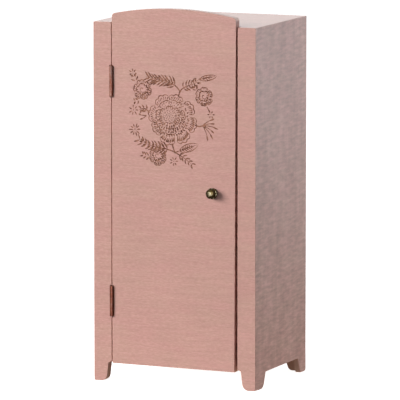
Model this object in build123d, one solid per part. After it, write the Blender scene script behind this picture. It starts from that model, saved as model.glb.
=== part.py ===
from build123d import *
import math
import os

# Miniature wardrobe: a painted carcass on bracket feet, with one arched door on two brass hinges.
# Millimetres. X runs across the front, Y from the front to the back, Z up.
# The origin is on the floor, under the middle of the whole object, knob included.

# Carcass
CARCASS_WIDTH = 99.0
CARCASS_DEPTH = 76.4
CARCASS_HEIGHT = 205.0
SIDE_BOARD = 3.0            # thickness of the sides, top, bottom, back and shelf
FRONT_BOARD = 5.0           # thickness of the stiles and the door
STILE_WIDTH = 10.9
BOTTOM_HEIGHT = 11.2        # underside of the bottom panel
APRON_HEIGHT = 8.9          # lower edge of the sides and the back between their feet
EDGE_EASE = 0.2             # sanded edges
CORNER_EASE = 0.6           # sanded corners of the boards

# Feet: widths at the floor, how much wider they are at the neck, and the rounding of toe and neck
FOOT_TOE = 7.6              # of a front foot, seen from the front
FOOT_FLARE = 1.35
FOOT_TOE_RADIUS = 3.8
FOOT_NECK_RADIUS = 1.2
FOOT_HEEL_RADIUS = 0.8
FRONT_FOOT_DEPTH = 12.2     # seen from the side, stile included
FRONT_FOOT_FLARE = 3.4
FRONT_FOOT_RADIUS = 4.6
REAR_FOOT_DEPTH = 8.2
REAR_FOOT_FLARE = 3.8
REAR_FOOT_RADIUS = 1.6
APRON_RADIUS = 1.0          # where the apron meets the side feet
BACK_FOOT_TOE = 9.2         # of a rear foot, seen from behind
BACK_FOOT_FLARE = 3.2
BACK_FOOT_RADIUS = 3.0

# Door
DOOR_APEX = 213.8           # top of the arch above the floor
ARCH_RADIUS = 188.0
SHOULDER_RADIUS = 2.2
DOOR_PROUD = 0.4            # the door's face stands this far in front of the stiles
HINGE_GAP = 0.6
FREE_GAP_TOP = 0.85
FREE_GAP_BOTTOM = 1.65      # the door hangs a little out of square
DOOR_BOTTOM_HINGE_SIDE = 10.6
DOOR_BOTTOM_FREE_SIDE = 10.1

# Hinges
HINGE_HEIGHT = 17.0
HINGE_CENTRES = {"upper": 171.6, "lower": 46.3}
KNUCKLES = 5
KNUCKLE_PLAY = 0.12
BARREL_RADIUS = 1.1
BARREL_PROUD = 0.6          # the pin's axis is this far in front of the stiles
BARREL_ROOM = 0.4           # cut away round the barrel in the stile and the door
PIN_RADIUS = 0.45
PIN_PLAY = 0.05             # radial, a running fit
PIN_CAP_RADIUS = 0.8
PIN_CAP_HEIGHT = 0.4
LEAF_THICKNESS = 0.5
LEAF_REACH = 5.0            # from the pin's axis to the leaf's back edge
LEAF_SPACE = 0.3            # between the two leaves when the door is shut
SCREW_SPACING = 6.0

# Small countersunk screws in the leaves
SCREW_SHANK_RADIUS = 0.4
SCREW_HEAD_RADIUS = 0.8
SCREW_LENGTH = 4.2
SCREW_PLAY = 0.02

# Knob
KNOB_HEIGHT = 111.0
KNOB_FROM_HINGE_AXIS = 61.9
KNOB_REACH = 4.6            # from the door's face to the front of the knob
KNOB_RADIUS = 2.75
KNOB_NECK_RADIUS = 1.2
KNOB_BORE_DEPTH = 1.8
RIM_BACK = 2.2              # the rim starts this far behind the front of the knob
RIM_STEP = 0.4              # spacing of the points that round its back
DOME_RISE = 1.4             # from the widest place to the front
DOME_ANGLES = (90, 78, 66, 54, 42, 30, 18, 6)
ROSETTE_RADIUS = 3.1
ROSETTE_THICKNESS = 1.5
ROSETTE_BEVEL = 0.25
KNOB_SCREW_RADIUS = 0.7
KNOB_SCREW_HEAD_RADIUS = 1.6
KNOB_SCREW_HEAD_HEIGHT = 0.9

# Inside
SHELF_HEIGHT = 172.0        # underside of the hat shelf
SHELF_SETBACK = 3.0         # behind the front edges of the top and bottom panels
CLEAT_HEIGHT = 4.0
CLEAT_WIDTH = 3.0
CLEAT_LENGTH = 60.0
RAIL_RADIUS = 2.0
RAIL_HEIGHT = 161.0
SOCKET_RADIUS = 3.2
SOCKET_FLANGE_RADIUS = 4.2
SOCKET_FLANGE = 1.0
SOCKET_LENGTH = 4.0
FIT_PLAY = 0.05             # rail in its sockets, magnets in their pockets
CATCH_WIDTH = 14.0
CATCH_DEPTH = 8.0
CATCH_HEIGHT = 10.0
MAGNET_RADIUS = 1.5
MAGNET_THICKNESS = 1.5
MAGNET_EDGE = 2.0           # magnet centre from the catch block's free end

# Places that follow from the sizes
SIDE_X = CARCASS_WIDTH / 2
INNER_X = SIDE_X - SIDE_BOARD
STILE_INNER_X = SIDE_X - STILE_WIDTH
KNOB_PROUD = KNOB_REACH + DOOR_PROUD
FRONT_Y = KNOB_PROUD - (CARCASS_DEPTH + KNOB_PROUD) / 2
BACK_Y = FRONT_Y + CARCASS_DEPTH
BOX_FRONT_Y = FRONT_Y + FRONT_BOARD
BOX_BACK_Y = BACK_Y - SIDE_BOARD
DOOR_FACE_Y = FRONT_Y - DOOR_PROUD
DOOR_BACK_Y = DOOR_FACE_Y + FRONT_BOARD
AXIS_X = -STILE_INNER_X + HINGE_GAP / 2
AXIS_Y = FRONT_Y - BARREL_PROUD
KNUCKLE_PITCH = HINGE_HEIGHT / KNUCKLES
KNOB_X = AXIS_X + KNOB_FROM_HINGE_AXIS
INNER_TOP = CARCASS_HEIGHT - SIDE_BOARD
MAGNET_X = INNER_X - CATCH_WIDTH + MAGNET_EDGE


def box_between(low, high):
    """A box from its lowest to its highest corner."""
    size = [high[i] - low[i] for i in range(3)]
    middle = [(high[i] + low[i]) / 2 for i in range(3)]
    return Pos(*middle) * Box(*size)


def disc(centre, radius, length, axis):
    """A cylinder that starts at centre and runs for length along axis."""
    return Plane(origin=centre, z_dir=axis) * Cylinder(
        radius, length, align=(Align.CENTER, Align.CENTER, Align.MIN)
    )


def board(plane, corners, thickness):
    """A board cut to an outline of (across, up, corner radius), thickness along the plane's normal."""
    points = [(across, up) for across, up, radius in corners]
    radii = [radius for across, up, radius in corners]
    outline = FilletPolyline(*points, radius=radii, close=True)
    return extrude(plane * make_face(outline), thickness)


def turned(centre, axis, profile):
    """A lathe-turned piece from (distance along the axis, radius) points, from end to end."""
    points = [(radius, along) for along, radius in profile]
    closed = [(0, profile[0][0])] + points + [(0, profile[-1][0])]
    corners = [p for i, p in enumerate(closed) if i == 0 or p != closed[i - 1]]
    outline = Polyline(*corners, close=True)
    solid = revolve(Plane.XZ * make_face(outline), Axis.Z)
    return Plane(origin=centre, z_dir=axis) * solid


def eased_face(solid, axis, radius=EDGE_EASE):
    """The solid with the edges of its last face along axis rounded."""
    return fillet(solid.faces().sort_by(axis)[-1].edges(), radius)


def save(node, *solids):
    """Write one node, with several solids where its pieces are alike."""
    shape = solids[0] if len(solids) == 1 else Compound(children=list(solids))
    export_step(shape, f"parts/{node}.step")


# Hinges: one upright axis, the leaves folded into the gap between the stile and the door

def hinge_base(name):
    return HINGE_CENTRES[name] - HINGE_HEIGHT / 2


def upright(x, y, z, radius, height):
    return disc((x, y, z), radius, height, (0, 0, 1))


def hinge_leaf(name, side, own_knuckles):
    """A leaf and its knuckles; side is -1 for the frame leaf and +1 for the door leaf."""
    base = hinge_base(name)
    near = AXIS_X + side * LEAF_SPACE / 2
    far = near + side * LEAF_THICKNESS
    leaf = box_between(
        (min(near, far), AXIS_Y, base),
        (max(near, far), AXIS_Y + LEAF_REACH, base + HINGE_HEIGHT),
    )
    for knuckle in range(KNUCKLES):
        bottom = base + knuckle * KNUCKLE_PITCH
        if knuckle in own_knuckles:
            barrel = upright(
                AXIS_X, AXIS_Y, bottom + KNUCKLE_PLAY / 2,
                BARREL_RADIUS, KNUCKLE_PITCH - KNUCKLE_PLAY,
            )
            leaf += barrel
        else:
            leaf -= upright(
                AXIS_X, AXIS_Y, bottom - KNUCKLE_PLAY / 2,
                BARREL_RADIUS + 2 * KNUCKLE_PLAY, KNUCKLE_PITCH + KNUCKLE_PLAY,
            )
    leaf -= upright(AXIS_X, AXIS_Y, base, PIN_RADIUS + PIN_PLAY, HINGE_HEIGHT)
    for head, direction in leaf_screw_places(name, side):
        leaf -= countersunk_screw(head, direction, SCREW_PLAY)
    return leaf


def leaf_screw_places(name, side):
    """Where the screws sit: the middle of each head's face, and the way it is driven."""
    x = AXIS_X + side * LEAF_SPACE / 2
    y = AXIS_Y + (BARREL_RADIUS + LEAF_REACH) / 2
    heights = [HINGE_CENTRES[name] + row * SCREW_SPACING for row in (-1, 0, 1)]
    return [((x, y, z), (side, 0, 0)) for z in heights]


def countersunk_screw(head, direction, play=0.0):
    cone = SCREW_HEAD_RADIUS - SCREW_SHANK_RADIUS
    profile = [
        (0, SCREW_HEAD_RADIUS + play),
        (cone, SCREW_SHANK_RADIUS + play),
        (SCREW_LENGTH - cone, SCREW_SHANK_RADIUS + play),
        (SCREW_LENGTH + play, 0),
    ]
    return turned(head, direction, profile)


def hinge_pin(name):
    """The pin, riveted over into a low cap at each end."""
    base = hinge_base(name)
    cap_top = PIN_CAP_HEIGHT + KNUCKLE_PLAY / 2
    rim = PIN_CAP_HEIGHT / 2 + KNUCKLE_PLAY / 2
    half = [
        (KNUCKLE_PLAY / 2, PIN_RADIUS),
        (KNUCKLE_PLAY / 2, PIN_CAP_RADIUS),
        (rim, PIN_CAP_RADIUS),
        (cap_top, PIN_RADIUS),
    ]
    lower = [(-along, radius) for along, radius in reversed(half)]
    upper = [(HINGE_HEIGHT + along, radius) for along, radius in half]
    return turned((AXIS_X, AXIS_Y, base), (0, 0, 1), lower + upper)


def hinge_mortise(name, side):
    """What is cut out of the stile or the door for one leaf, the barrel and the screws."""
    base = hinge_base(name)
    cap_room = PIN_CAP_HEIGHT + 2 * KNUCKLE_PLAY
    face = AXIS_X + side * HINGE_GAP / 2
    floor = AXIS_X + side * (LEAF_SPACE / 2 + LEAF_THICKNESS)
    cut = box_between(
        (min(face, floor), AXIS_Y, base),
        (max(face, floor), AXIS_Y + LEAF_REACH, base + HINGE_HEIGHT),
    )
    cut += upright(
        AXIS_X, AXIS_Y, base - cap_room, BARREL_RADIUS + BARREL_ROOM, HINGE_HEIGHT + 2 * cap_room
    )
    for head, direction in leaf_screw_places(name, side):
        cut += countersunk_screw(head, direction, SCREW_PLAY)
    return cut


FRAME_KNUCKLES = (1, 3)
DOOR_KNUCKLES = (0, 2, 4)


# Carcass boards

def stile(side):
    """A front upright with its foot; side is -1 at the hinges and +1 at the free edge."""
    corners = [
        (0, CARCASS_HEIGHT, CORNER_EASE),
        (0, 0, FOOT_HEEL_RADIUS),
        (FOOT_TOE, 0, FOOT_TOE_RADIUS),
        (FOOT_TOE + FOOT_FLARE, BOTTOM_HEIGHT, FOOT_NECK_RADIUS),
        (STILE_WIDTH, BOTTOM_HEIGHT, 0.0),
        (STILE_WIDTH, CARCASS_HEIGHT, CORNER_EASE),
    ]
    across = [(side * (SIDE_X - u), z, r) for u, z, r in corners]
    plane = Plane(origin=(0, BOX_FRONT_Y, 0), x_dir=(1, 0, 0), z_dir=(0, -1, 0))
    upright_board = eased_face(board(plane, across, FRONT_BOARD), -Axis.Y)
    if side < 0:
        for name in HINGE_CENTRES:
            upright_board -= hinge_mortise(name, side)
    return upright_board


def side_panel(side):
    """A side with a front and a rear foot cut into its lower edge."""
    front_foot = FRONT_Y + FRONT_FOOT_DEPTH
    rear_foot = BACK_Y - REAR_FOOT_DEPTH
    corners = [
        (BOX_FRONT_Y, CARCASS_HEIGHT, 0.0),
        (BOX_FRONT_Y, 0, 0.0),
        (front_foot, 0, FRONT_FOOT_RADIUS),
        (front_foot + FRONT_FOOT_FLARE, APRON_HEIGHT, APRON_RADIUS),
        (rear_foot - REAR_FOOT_FLARE, APRON_HEIGHT, APRON_RADIUS),
        (rear_foot, 0, REAR_FOOT_RADIUS),
        (BACK_Y, 0, REAR_FOOT_RADIUS),
        (BACK_Y, CARCASS_HEIGHT, CORNER_EASE),
    ]
    inner = side * INNER_X
    plane = Plane(origin=(inner, 0, 0), x_dir=(0, side, 0), z_dir=(side, 0, 0))
    panel = board(plane, [(side * y, z, r) for y, z, r in corners], SIDE_BOARD)
    outer = panel.faces().sort_by(Axis.X)[-1 if side > 0 else 0]
    eased = [e for e in outer.edges() if e.center().Y > BOX_FRONT_Y + EDGE_EASE]
    return fillet(eased, EDGE_EASE)


def back_panel():
    """The back, let in between the sides, with a bracket foot at each end."""
    foot_toe = BACK_FOOT_TOE - SIDE_BOARD
    foot_neck = foot_toe + BACK_FOOT_FLARE
    half = [
        (0, INNER_TOP, 0.0),
        (0, 0, 0.0),
        (foot_toe, 0, BACK_FOOT_RADIUS),
        (foot_neck, APRON_HEIGHT, FOOT_NECK_RADIUS),
    ]
    left = [(-INNER_X + u, z, r) for u, z, r in half]
    right = [(INNER_X - u, z, r) for u, z, r in reversed(half)]
    plane = Plane(origin=(0, BACK_Y, 0), x_dir=(1, 0, 0), z_dir=(0, -1, 0))
    return board(plane, left + right, SIDE_BOARD)


def magnet_pocket(x, y, direction, play=0.0):
    return disc((x, y, KNOB_HEIGHT), MAGNET_RADIUS + play, MAGNET_THICKNESS + play, direction)


def make_carcass():
    for side, word in ((-1, "left"), (1, "right")):
        save(f"{word}_front_stile", stile(side))
        save(f"{word}_side_panel", side_panel(side))
    save("back_panel", back_panel())
    save("top_panel", box_between((-INNER_X, BOX_FRONT_Y, INNER_TOP), (INNER_X, BACK_Y, CARCASS_HEIGHT)))
    save(
        "bottom_panel",
        box_between(
            (-INNER_X, BOX_FRONT_Y, BOTTOM_HEIGHT),
            (INNER_X, BOX_BACK_Y, BOTTOM_HEIGHT + SIDE_BOARD),
        ),
    )
    block = box_between(
        (INNER_X - CATCH_WIDTH, BOX_FRONT_Y, KNOB_HEIGHT - CATCH_HEIGHT / 2),
        (INNER_X, BOX_FRONT_Y + CATCH_DEPTH, KNOB_HEIGHT + CATCH_HEIGHT / 2),
    )
    save("catch_block", block - magnet_pocket(MAGNET_X, BOX_FRONT_Y, (0, 1, 0), FIT_PLAY))
    save("catch_magnet", magnet_pocket(MAGNET_X, BOX_FRONT_Y, (0, 1, 0)))


# Inside of the cupboard

def make_fittings():
    shelf_front = BOX_FRONT_Y + SHELF_SETBACK
    shelf = box_between(
        (-INNER_X, shelf_front, SHELF_HEIGHT),
        (INNER_X, BOX_BACK_Y, SHELF_HEIGHT + SIDE_BOARD),
    )
    save("hat_shelf", eased_face(shelf, -Axis.Y))
    rail_y = (BOX_FRONT_Y + BOX_BACK_Y) / 2
    for side, word in ((-1, "left"), (1, "right")):
        wall = side * INNER_X
        edge = wall - side * CLEAT_WIDTH
        cleat = box_between(
            (min(wall, edge), rail_y - CLEAT_LENGTH / 2, SHELF_HEIGHT - CLEAT_HEIGHT),
            (max(wall, edge), rail_y + CLEAT_LENGTH / 2, SHELF_HEIGHT),
        )
        save(f"{word}_shelf_cleat", cleat)
        inward = (-side, 0, 0)
        socket = turned(
            (wall, rail_y, RAIL_HEIGHT), inward,
            [
                (0, SOCKET_FLANGE_RADIUS),
                (SOCKET_FLANGE / 2, SOCKET_FLANGE_RADIUS),
                (SOCKET_FLANGE, SOCKET_RADIUS),
                (SOCKET_LENGTH, SOCKET_RADIUS),
            ],
        )
        mouth = (wall - side * SOCKET_FLANGE, rail_y, RAIL_HEIGHT)
        socket -= disc(mouth, RAIL_RADIUS + FIT_PLAY, SOCKET_LENGTH, inward)
        save(f"{word}_rail_socket", socket)
    rail_end = INNER_X - SOCKET_FLANGE
    save("hanging_rail", disc((-rail_end, rail_y, RAIL_HEIGHT), RAIL_RADIUS, 2 * rail_end, (1, 0, 0)))


# Door

def knob_screw(play=0.0):
    """Driven from the back of the door, with its head let in flush."""
    reach = FRONT_BOARD + ROSETTE_THICKNESS + KNOB_BORE_DEPTH
    profile = [
        (0, KNOB_SCREW_HEAD_RADIUS + play),
        (KNOB_SCREW_HEAD_HEIGHT + play, KNOB_SCREW_HEAD_RADIUS + play),
        (KNOB_SCREW_HEAD_HEIGHT + play, KNOB_SCREW_RADIUS + play),
        (reach + play, KNOB_SCREW_RADIUS + play),
    ]
    return turned((KNOB_X, DOOR_BACK_Y, KNOB_HEIGHT), (0, -1, 0), profile)


def door_panel():
    """The door board: arched top, round shoulders, mortised for the hinges."""
    left = AXIS_X + HINGE_GAP / 2
    right_top = STILE_INNER_X - FREE_GAP_TOP
    right_bottom = STILE_INNER_X - FREE_GAP_BOTTOM
    half_width = (right_top - left) / 2
    arch_rise = ARCH_RADIUS - math.sqrt(ARCH_RADIUS**2 - half_width**2)
    shoulder = DOOR_APEX - arch_rise
    corners = [
        (right_top, shoulder),
        (right_bottom, DOOR_BOTTOM_FREE_SIDE),
        (left, DOOR_BOTTOM_HINGE_SIDE),
        (left, shoulder),
    ]
    arch = ThreePointArc((left, shoulder), (left + half_width, DOOR_APEX), (right_top, shoulder))
    face = make_face([arch, Polyline(*corners)])
    shoulders = face.vertices().sort_by(Axis.Y)[-2:]
    face = fillet(shoulders, SHOULDER_RADIUS)
    plane = Plane(origin=(0, DOOR_BACK_Y, 0), x_dir=(1, 0, 0), z_dir=(0, -1, 0))
    panel = extrude(plane * face, FRONT_BOARD)
    panel = eased_face(panel, -Axis.Y)
    for name in HINGE_CENTRES:
        panel -= hinge_mortise(name, 1)
    panel -= magnet_pocket(MAGNET_X, DOOR_BACK_Y, (0, -1, 0), FIT_PLAY)
    panel -= knob_screw(SCREW_PLAY)
    return panel


def knob():
    """Mushroom knob: neck, round rim and a smooth domed front."""
    rim_back = KNOB_REACH - RIM_BACK
    widest = KNOB_REACH - DOME_RISE
    dome = [
        (widest + DOME_RISE * math.cos(math.radians(angle)), KNOB_RADIUS * math.sin(math.radians(angle)))
        for angle in DOME_ANGLES
    ]
    profile = [
        (ROSETTE_THICKNESS, KNOB_NECK_RADIUS * 1.25),
        (ROSETTE_THICKNESS + RIM_STEP, KNOB_NECK_RADIUS),
        (rim_back - RIM_STEP, KNOB_NECK_RADIUS),
        (rim_back, KNOB_RADIUS * 0.78),
        (rim_back + RIM_STEP, KNOB_RADIUS * 0.96),
        *dome,
        (KNOB_REACH, KNOB_RADIUS * 0.03),
    ]
    solid = turned((KNOB_X, DOOR_FACE_Y, KNOB_HEIGHT), (0, -1, 0), profile)
    return solid - knob_screw(SCREW_PLAY)


def make_door():
    save("door_panel", door_panel())
    save("door_knob", knob())
    rosette = turned(
        (KNOB_X, DOOR_FACE_Y, KNOB_HEIGHT), (0, -1, 0),
        [
            (0, ROSETTE_RADIUS),
            (ROSETTE_THICKNESS - ROSETTE_BEVEL, ROSETTE_RADIUS),
            (ROSETTE_THICKNESS, ROSETTE_RADIUS - ROSETTE_BEVEL),
        ],
    )
    save("knob_rosette", rosette - knob_screw(SCREW_PLAY))
    save("knob_screw", knob_screw())
    save("door_magnet", magnet_pocket(MAGNET_X, DOOR_BACK_Y, (0, -1, 0)))


def make_hinges():
    for name in HINGE_CENTRES:
        save(f"{name}_hinge_frame_leaf", hinge_leaf(name, -1, FRAME_KNUCKLES))
        save(f"{name}_hinge_door_leaf", hinge_leaf(name, 1, DOOR_KNUCKLES))
        save(f"{name}_hinge_pin", hinge_pin(name))
    for side, word in ((-1, "frame"), (1, "door")):
        places = [place for name in HINGE_CENTRES for place in leaf_screw_places(name, side)]
        save(f"hinge_{word}_screws", *[countersunk_screw(*place) for place in places])


os.makedirs("parts", exist_ok=True)
make_carcass()
make_fittings()
make_door()
make_hinges()
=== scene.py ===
"""Looks of a miniature wardrobe: brushed painted boards, an engraved spray, aged brass, a white studio."""

import logging
import math
import random
from dataclasses import dataclass, field
from enum import Enum
from typing import Iterable, Sequence

import bmesh
import bpy
from bpy.types import Material, Mesh, Node, NodeSocket, NodeTree, Object
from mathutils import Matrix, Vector


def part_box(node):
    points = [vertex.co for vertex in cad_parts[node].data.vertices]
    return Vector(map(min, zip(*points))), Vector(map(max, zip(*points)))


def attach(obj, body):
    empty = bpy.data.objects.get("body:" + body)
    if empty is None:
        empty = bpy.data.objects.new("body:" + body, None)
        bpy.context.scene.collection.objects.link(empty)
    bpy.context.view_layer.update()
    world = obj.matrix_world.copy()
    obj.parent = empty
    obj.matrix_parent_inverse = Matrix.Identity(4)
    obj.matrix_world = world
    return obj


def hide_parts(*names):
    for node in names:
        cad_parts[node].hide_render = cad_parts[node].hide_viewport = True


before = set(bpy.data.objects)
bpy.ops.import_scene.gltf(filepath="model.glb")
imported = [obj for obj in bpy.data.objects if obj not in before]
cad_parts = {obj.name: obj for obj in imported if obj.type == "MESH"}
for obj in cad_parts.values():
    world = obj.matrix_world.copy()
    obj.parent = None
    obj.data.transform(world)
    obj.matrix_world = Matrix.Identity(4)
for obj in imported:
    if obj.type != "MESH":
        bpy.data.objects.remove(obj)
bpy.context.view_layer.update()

MM = 0.001
MERGE_WITHIN = 0.001 * MM  # corners nearer than this are one
SQUARE = 0.9999  # a face is square to an axis when its normal has this much of it
Shade = tuple[float, float, float, float]
Outline = list[tuple[float, float]]
Profile = Sequence[tuple[float, float, float]]

log = logging.getLogger("wardrobe")


class Slot(Enum):
    """The record's finishes."""

    PAINT = "painted_board"
    BIRCH = "turned_birch"
    BRASS = "aged_brass"
    NICKEL = "nickel_plate"


class Taper(Enum):
    """How a cut of the engraving tool starts and ends."""

    BOTH = "pointed at both ends"
    END = "pointed at its end"
    NONE = "the same width all along"


# Helpers


def shade(hex_colour: str) -> Shade:
    """Turns an sRGB hex colour to a linear one.

    Args:
        hex_colour: such as "#C8A090".

    Returns:
        Linear red, green, blue and an alpha of 1.
    """
    parts = [int(hex_colour[i:i + 2], 16) / 255 for i in (1, 3, 5)]
    linear = [p / 12.92 if p <= 0.04045 else ((p + 0.055) / 1.055) ** 2.4 for p in parts]
    return (linear[0], linear[1], linear[2], 1.0)


def add(tree: NodeTree, kind: str, inputs: dict | None = None, **settings: object) -> Node:
    """Adds one node, sets it up and links it.

    Args:
        tree: the node tree that it goes into.
        kind: the node's type; "ShaderNode" may be left off its front.
        inputs: for each input, by its name or number, a value, a hex colour, an output socket, or a node whose
            first output in use is meant.
        settings: the node's own properties; stops gives a colour ramp's positions and hex colours.

    Returns:
        The new node.
    """
    node = tree.nodes.new(kind if "Node" in kind else "ShaderNode" + kind)
    stops = settings.pop("stops", ())
    for name, value in settings.items():
        setattr(node, name, value)
    for place, (position, colour) in enumerate(stops):
        elements = node.color_ramp.elements
        element = elements[place] if place < len(elements) else elements.new(1.0)
        element.position, element.color = position, shade(colour)
    for key, value in (inputs or {}).items():
        if isinstance(value, Node):
            value = next(output for output in value.outputs if output.enabled)
        if isinstance(value, NodeSocket):
            tree.links.new(value, node.inputs[key])
        elif isinstance(value, str) and value.startswith("#"):
            node.inputs[key].default_value = shade(value)
        else:
            node.inputs[key].default_value = value
    return node


def new_material(name: str) -> tuple[Material, NodeTree]:
    """Makes an empty node material and returns it with its tree."""
    material = bpy.data.materials.new(name)
    material.use_nodes = True
    material.node_tree.nodes.clear()
    return material, material.node_tree


def surface(tree: NodeTree, inputs: dict) -> None:
    """Ends a material in one Principled shader with these inputs."""
    shader = add(tree, "BsdfPrincipled", inputs)
    add(tree, "OutputMaterial", {"Surface": shader.outputs["BSDF"]})


def in_scene(name: str, data: bpy.types.ID) -> Object:
    """Makes an object of this data and puts it in the scene."""
    made = bpy.data.objects.new(name, data)
    bpy.context.scene.collection.objects.link(made)
    return made


def new_piece(name: str, mesh: Mesh, body: str, replaced: Sequence[str]) -> Object:
    """Puts a finished mesh on its body in place of its CAD nodes.

    Args:
        name: the piece's name.
        mesh: its mesh, in the row frame.
        body: the body it rides on.
        replaced: the CAD nodes it stands for.

    Returns:
        The new object.
    """
    piece = in_scene(name, mesh)
    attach(piece, body)
    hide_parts(*replaced)
    log.info("%s: %d faces, on %s", name, len(mesh.polygons), body)
    return piece


def evaluated_mesh(source: Object, tree: NodeTree, inputs: dict[str, object]) -> Mesh:
    """Runs a Geometry Nodes tree on an object and returns the result as a plain mesh.

    Args:
        source: the object that the tree starts from; it is removed afterwards.
        tree: the tree.
        inputs: a value for each of the tree's named inputs.

    Returns:
        The finished mesh.
    """
    modifier = source.modifiers.new(tree.name, "NODES")
    modifier.node_group = tree
    sockets = {item.name: item.identifier for item in tree.interface.items_tree if item.in_out == "INPUT"}
    for name, value in inputs.items():
        modifier[sockets[name]] = value
    graph = bpy.context.evaluated_depsgraph_get()
    mesh = bpy.data.meshes.new_from_object(source.evaluated_get(graph))
    source.modifiers.clear()
    bpy.data.objects.remove(source)
    return mesh


def geometry_tree(name: str, inputs: dict[str, str]) -> tuple[NodeTree, Node, Node]:
    """Starts a Geometry Nodes tree.

    Args:
        name: the tree's name.
        inputs: each named input and its socket type, after the geometry itself.

    Returns:
        The tree, its input node and its output node.
    """
    tree = bpy.data.node_groups.new(name, "GeometryNodeTree")
    tree.interface.new_socket("Geometry", in_out="INPUT", socket_type="NodeSocketGeometry")
    for label, kind in inputs.items():
        tree.interface.new_socket(label, in_out="INPUT", socket_type=kind)
    tree.interface.new_socket("Geometry", in_out="OUTPUT", socket_type="NodeSocketGeometry")
    return tree, add(tree, "NodeGroupInput"), add(tree, "NodeGroupOutput")


def merged_copy(node: str) -> Mesh:
    """Returns a copy of a CAD node's mesh with its loose triangles joined."""
    shape = bmesh.new()
    shape.from_mesh(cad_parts[node].data)
    bmesh.ops.remove_doubles(shape, verts=shape.verts, dist=MERGE_WITHIN)
    mesh = bpy.data.meshes.new(node + "_merged")
    shape.to_mesh(mesh)
    shape.free()
    return mesh


def soften(mesh: Mesh, sharp_degrees: float) -> None:
    """Shades a mesh smooth, but for edges that turn by more than sharp_degrees."""
    mesh.polygons.foreach_set("use_smooth", [True] * len(mesh.polygons))
    mesh.set_sharp_from_angle(angle=math.radians(sharp_degrees))


def settle_normals(mesh: Mesh, sharp_degrees: float) -> None:
    """Shades a carved board smooth without letting its big flat faces pick up a bend from the edges round them.

    Args:
        mesh: the board; its flat faces lie square to the axes.
        sharp_degrees: edges that turn by more than this stay sharp.
    """
    soften(mesh, sharp_degrees)
    turn = math.cos(math.radians(sharp_degrees))
    flat: dict[int, list[Vector]] = {}
    for face in mesh.polygons:
        if max(abs(part) for part in face.normal) > SQUARE:
            for corner in face.vertices:
                flat.setdefault(corner, []).append(face.normal)
    normals = [Vector(corner.vector) for corner in mesh.corner_normals]
    for face in mesh.polygons:
        for loop in face.loop_indices:
            for normal in flat.get(mesh.loops[loop].vertex_index, []):
                if normal.dot(face.normal) > turn:
                    normals[loop] = normal
                    break
    mesh.normals_split_custom_set(normals)


def lathe(name: str, centre: Vector, axis: Vector, outline: Outline, rub_and_highlight: Sequence[float], steps: int) -> Mesh:
    """Turns an outline about an axis into a closed shape.

    Args:
        name: the mesh's name.
        centre: where the axis starts.
        axis: the way the outline's first numbers run.
        outline: distance along the axis and radius, in metres, from pole to pole.
        rub_and_highlight: how bright each point of the outline is, from 0 to 1: rubbing wear, and on the
        knob's dome and the rosette's rim also a painted highlight.
        steps: faces round the axis.

    Returns:
        The mesh, with that brightness as a point attribute.
    """
    turn = Vector((0, 0, 1)).rotation_difference(axis)
    shape = bmesh.new()
    wear_and_highlight = shape.verts.layers.float.new("rub_and_highlight")
    rings = []
    # Each point's brightness is rubbing wear and, on the knob's dome and the rosette's rim, a painted highlight
    for (along, radius), bright in zip(outline, rub_and_highlight):
        count = 1 if radius == 0 else steps
        ring = []
        for i in range(count):
            angle = 2 * math.pi * i / steps
            point = Vector((radius * math.cos(angle), radius * math.sin(angle), along))
            vertex = shape.verts.new(centre + turn @ point)
            vertex[wear_and_highlight] = bright
            ring.append(vertex)
        rings.append(ring)
    for lower, upper in zip(rings, rings[1:]):
        for i in range(steps):
            corners = [
                lower[i % len(lower)], lower[(i + 1) % len(lower)],
                upper[(i + 1) % len(upper)], upper[i % len(upper)],
            ]
            shape.faces.new(list(dict.fromkeys(corners)))
    bmesh.ops.recalc_face_normals(shape, faces=shape.faces)
    mesh = bpy.data.meshes.new(name)
    shape.to_mesh(mesh)
    shape.free()
    return mesh


# Finishes. A noise texture stays mostly within this span of its 0 to 1, so patterns are stretched from it.
NOISE_SPAN = (0.3, 0.7)


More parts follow.
